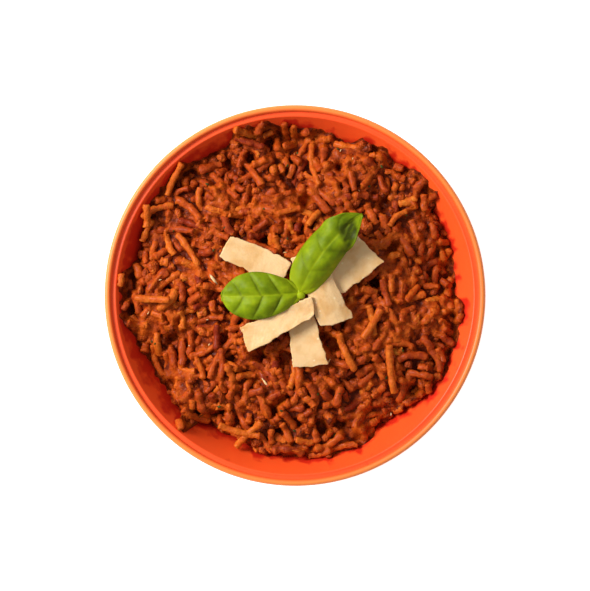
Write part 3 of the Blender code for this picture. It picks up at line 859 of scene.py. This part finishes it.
basil = {
    "junction": (1.7, 1.2), "thickness": 0.5, "node": 1.4, "stem": 1.05, "rows": 110, "columns": 56,
    # the darkest green is painted shade, for the creases and under the curled tip
    "green": "#738606", "deep": "#536703", "vein": "#9ca80e", "young": "#8c9c0a", "hollow": "#333b00",
}
leaves = {
    # the last two entries set how much shade is painted into the side-vein creases, and where along and how
    # dark it is painted into the curled tip's hollow
    "left": {
        "tip": (-30.2, -1.4), "bow": 0.5, "halfWidths": (2.3, 9.8), "arch": 3.0, "tipHeight": -1.6,
        "bends": (60, 42, 64), "curlFrom": 0.85, "widest": 0.62, "fullness": 0.48,
        "pairs": 4, "puff": 1.5, "creaseShade": 0.5, "hollow": (0.9, 0.0),
    },
    "right": {
        "tip": (24.0, 30.0), "bow": 2.7, "halfWidths": (1.6, 9.8), "arch": 4.2, "tipHeight": 3.2,
        "bends": (105, 122, -120), "curlFrom": 0.62, "widest": 0.42, "fullness": 0.62,
        "pairs": 4, "puff": 0.8, "creaseShade": 0.25, "hollow": (0.81, 0.95),
    },
}


def leafPoint(leaf, along, across):  # (point in mm from the junction, how pale, how much shade is painted in)
    heading = Vector((*leaf["tip"], 0))
    sideways = Vector((-heading.y, heading.x, 0)).normalized()
    skew = math.log(0.5) / math.log(leaf["widest"])

    def midrib(share):
        lean = 4 * share * (1 - share)
        height = leaf["arch"] * lean * (1 - 0.3 * share) + leaf["tipHeight"] * share * share
        return heading * share + sideways * leaf["bow"] * lean + Vector((0, 0, height))

    ahead = (midrib(along + 0.01) - midrib(along - 0.01)).normalized()
    left = Vector((-ahead.y, ahead.x, 0)).normalized()
    up = ahead.cross(left)
    atBase, atWidest = leaf["halfWidths"]
    oval = max(0.0, math.sin(math.pi * along ** skew)) ** leaf["fullness"]
    reach = atBase * (1 - along) + (atWidest - atBase / 2) * oval
    base, middle, tip = leaf["bends"]
    curl = min(1.0, max(0.0, (along - leaf["curlFrom"]) / 0.26))
    curl = curl * curl * (3 - 2 * curl)
    bend = (middle + (base - middle) * (1 - along) ** 4 + (tip - middle) * curl) * mm
    bend = bend if abs(bend) > 1e-3 else 1e-3
    turn = bend * reach * across
    out, down = math.sin(turn) / bend, (1 - math.cos(turn)) / bend
    phase = leaf["pairs"] * (along - 0.16 * abs(across) ** 1.3) + 0.12 * (across > 0)
    lobes = abs(math.sin(math.pi * phase))
    sideVein = math.exp(-((lobes / 0.22) ** 2)) * (1 - 0.5 * abs(across))
    midVein = math.exp(-((across * reach / 0.55) ** 2))
    fade = math.sin(math.pi * min(1, along * 1.02)) ** 0.5
    puff = leaf["puff"] * lobes ** 0.65 * (1 - across ** 4) * min(1, 3 * abs(across)) ** 0.8 * fade
    puff += 0.12 * bumps(along * 30, across * 10, 0, 2.2, leaf["pairs"] + len(leaf))
    wave = 0.25 * math.sin(9 * math.pi * along + 2 * across) * abs(across) ** 6
    paintedShadeAt, darkness = leaf["hollow"]  # the tip curls up round a hollow, and the hollow's shade is painted in dark green
    hollow = math.exp(-(((along - paintedShadeAt - 0.05 * across) / 0.11) ** 6) - ((across + 0.28) / 0.62) ** 8)
    hollow *= darkness * (1 + 0.5 * bumps(along * 30, across * 10, 0, 1.8, 3))
    # painted shade also darkens the creases along the side veins
    hollow = max(hollow, leaf["creaseShade"] * sideVein * fade)
    pale = max(0.6 * midVein, (1 - along) ** 5)
    return midrib(along) + left * out + up * (puff - down + wave), pale, hollow


def leafShell(leaf):
    rows, columns = basil["rows"], basil["columns"]
    points, veins, paintedShades = [], [], []
    for i in range(rows + 1):
        for j in range(columns + 1):
            point, vein, hollow = leafPoint(leaf, i / rows, 2 * j / columns - 1)
            points.append(tuple(point))
            veins.append(vein)
            paintedShades.append(hollow)
    wide = columns + 1
    top = np.array(points).reshape(rows + 1, wide, 3)
    normal = np.cross(np.gradient(top, axis=0), np.gradient(top, axis=1))
    normal /= np.maximum(np.linalg.norm(normal, axis=2), 1e-9)[..., None]
    under = top - normal * np.sign(normal[..., 2:3]) * basil["thickness"]
    points = np.vstack([top.reshape(-1, 3), under.reshape(-1, 3)])
    offset = wide * (rows + 1)
    faces = []
    for i in range(rows):
        for j in range(columns):
            a, b, c, d = i * wide + j, (i + 1) * wide + j, (i + 1) * wide + j + 1, i * wide + j + 1
            faces += [(a, b, c, d), (offset + d, offset + c, offset + b, offset + a)]
    border = [i * wide for i in range(rows + 1)] + [rows * wide + j for j in range(1, wide)]
    border += [i * wide + columns for i in range(rows - 1, -1, -1)] + list(range(columns - 1, 0, -1))
    for a, b in zip(border, border[1:] + border[:1]):
        faces.append((b, a, offset + a, offset + b))
    return points, faces, np.array(veins * 2), np.array(paintedShades * 2)


# A young basil leaf: a satin yellow-green skin, paler at the midrib and the base, with shade painted darker
# into the creases and under the curled tip.
def basilMaterial():
    material, tree, shader = newMaterial("freshBasilLeaf", {
        "Roughness": 0.5, "IOR": 1.4, "Specular IOR Level": 0.15,
        "Subsurface Weight": 0.15, "Subsurface Radius": (0.4, 1.0, 0.1), "Subsurface Scale": 0.6 * mm,
    })
    spot = addNode(tree, "ShaderNodeTexCoord").outputs["Object"]
    vein = addNode(tree, "ShaderNodeAttribute", {"attribute_name": "vein"})
    cloud = addNode(tree, "ShaderNodeTexNoise", {"Scale": 1 / (6 * mm), "Detail": 4.0},
                    {"Vector": spot})
    cells = addNode(tree, "ShaderNodeTexVoronoi", {"Scale": 1 / (0.9 * mm), "feature": "DISTANCE_TO_EDGE"},
                    {"Vector": spot})
    blade = addNode(tree, "ShaderNodeValToRGB", {"stops": [
        (0.3, basil["deep"]), (0.55, basil["green"]),
        (0.75, basil["young"])]}, {"Fac": cloud.outputs["Fac"]})
    veined = addNode(tree, "ShaderNodeMix", {"data_type": "RGBA", 7: colour(basil["vein"])},
                     {6: blade.outputs["Color"]})
    amount = addNode(tree, "ShaderNodeMath", {"operation": "MULTIPLY", 1: 0.7}, {0: vein.outputs["Fac"]})
    tree.links.new(amount.outputs[0], veined.inputs["Factor"])
    # painted shade: dark green mixed in along the creases and in the curled tip's hollow
    hollow = addNode(tree, "ShaderNodeAttribute", {"attribute_name": "hollow"})
    shaded = addNode(tree, "ShaderNodeMix", {"data_type": "RGBA", 7: colour(basil["hollow"])},
                     {"Factor": hollow.outputs["Fac"], 6: veined.outputs[2]})
    tree.links.new(shaded.outputs[2], shader.inputs["Base Color"])
    bump = addNode(tree, "ShaderNodeBump", {"Strength": 0.35, "Distance": 0.12 * mm},
                   {"Height": cells.outputs["Distance"]})
    tree.links.new(bump.outputs["Normal"], shader.inputs["Normal"])
    return material


def makeSprig():
    low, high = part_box("basil_sprig")
    parts = [leafShell(leaf) for leaf in leaves.values()]
    crown = max(part[0][:, 2].max() for part in parts)
    level = high.z / mm - crown + 0.1
    junction = np.array([*basil["junction"], level])
    parts = [(points + junction, *rest) for points, *rest in parts]
    depth = level - low.z / mm
    steps = 8
    stem = [junction + (0.4 * math.sin(2.2 * i / steps), 0.3 * i / steps, 0.5 - (depth + 0.4) * i / steps)
            for i in range(steps + 1)]
    stem = np.array(stem)
    lean = 1e-3 * np.arange(steps + 1)
    points, faces = tubeOf(stem[:, 0], stem[:, 1] + lean, stem[:, 2], basil["stem"], 14, 0.1, 5)
    parts.append((points, faces, np.full(len(points), 0.9), np.zeros(len(points))))
    ball, faces = unitBall(3)
    points = ball * basil["node"] * (1.2, 1.1, 0.8) + junction + (0.6, -1.1, 0.1)
    parts.append((points, faces, np.full(len(points), 0.9), np.zeros(len(points))))
    allPoints, allFaces, allVeins, allPaintedShades, first = [], [], [], [], 0
    for points, faces, veins, paintedShades in parts:
        allPoints.append(points)
        allFaces += [tuple(first + i for i in face) for face in faces]
        allVeins.append(veins)
        allPaintedShades.append(paintedShades)
        first += len(points)
    # the second mark is the painted shade
    marks = {"vein": np.concatenate(allVeins), "hollow": np.concatenate(allPaintedShades)}
    return newObject("basilSprig", np.vstack(allPoints), allFaces, basilMaterial(), marks)


place(makeSprig(), "basil_leaf", "basil_sprig")
print("basil sprig made")


# Floor, light and camera.

studio = {
    "floor": "#f4f4f4", "floorHalf": 9000, "glow": 0.75, "sky": 0.42,
    "keyPower": 12.0, "keyDistance": 0.9, "keyAround": 158, "keyUp": 41, "keySize": 0.42,
    "cameraHeight": 0.6445, "lens": 100,
}


# White paper, lit from behind like a light table, so that the floor stays white to the edge of the view.
def makeFloor():
    material, tree, shader = newMaterial("litPaperSweep", {
        "Roughness": 0.85, "Emission Color": (1, 1, 1, 1), "Emission Strength": studio["glow"]})
    spot = addNode(tree, "ShaderNodeTexCoord").outputs["Object"]
    tooth = addNode(tree, "ShaderNodeTexNoise", {"Scale": 1 / (2.5 * mm), "Detail": 2.0}, {"Vector": spot})
    tint = addNode(tree, "ShaderNodeMix", {
        "data_type": "RGBA", 6: colour(studio["floor"]), 7: colour("#f7f7f7")},
        {"Factor": tooth.outputs["Fac"]})
    tree.links.new(tint.outputs[2], shader.inputs["Base Color"])
    half = studio["floorHalf"]
    corners = [(-half, -half, 0), (half, -half, 0), (half, half, 0), (-half, half, 0)]
    floor = newObject("paperFloor", corners, [(0, 1, 2, 3)], material)


def makeLight():
    scene = bpy.context.scene
    lamp = bpy.data.lights.new("softWindow", "AREA")
    lamp.energy, lamp.shape, lamp.size = studio["keyPower"], "DISK", studio["keySize"]
    key = bpy.data.objects.new("softWindow", lamp)
    around, up = math.radians(studio["keyAround"]), math.radians(studio["keyUp"])
    level = studio["keyDistance"] * math.cos(up)
    key.location = (level * math.cos(around), level * math.sin(around), studio["keyDistance"] * math.sin(up))
    key.rotation_euler = (Vector((0, 0, 0.03)) - key.location).to_track_quat("-Z", "Y").to_euler()
    scene.collection.objects.link(key)
    world = bpy.data.worlds.new("whiteRoom")
    world.use_nodes = True
    world.node_tree.nodes["Background"].inputs["Color"].default_value = (1, 1, 1, 1)
    world.node_tree.nodes["Background"].inputs["Strength"].default_value = studio["sky"]
    scene.world = world
    scene.view_settings.view_transform = "Standard"


def makeCamera():
    lens = bpy.data.cameras.new("overhead")
    lens.lens, lens.sensor_width = studio["lens"], 36
    camera = bpy.data.objects.new("overhead", lens)
    camera.location = (0, 0, bowl["height"] * mm + studio["cameraHeight"])
    bpy.context.scene.collection.objects.link(camera)
    bpy.context.scene.camera = camera


makeFloor()
makeLight()
makeCamera()
print("studio set")
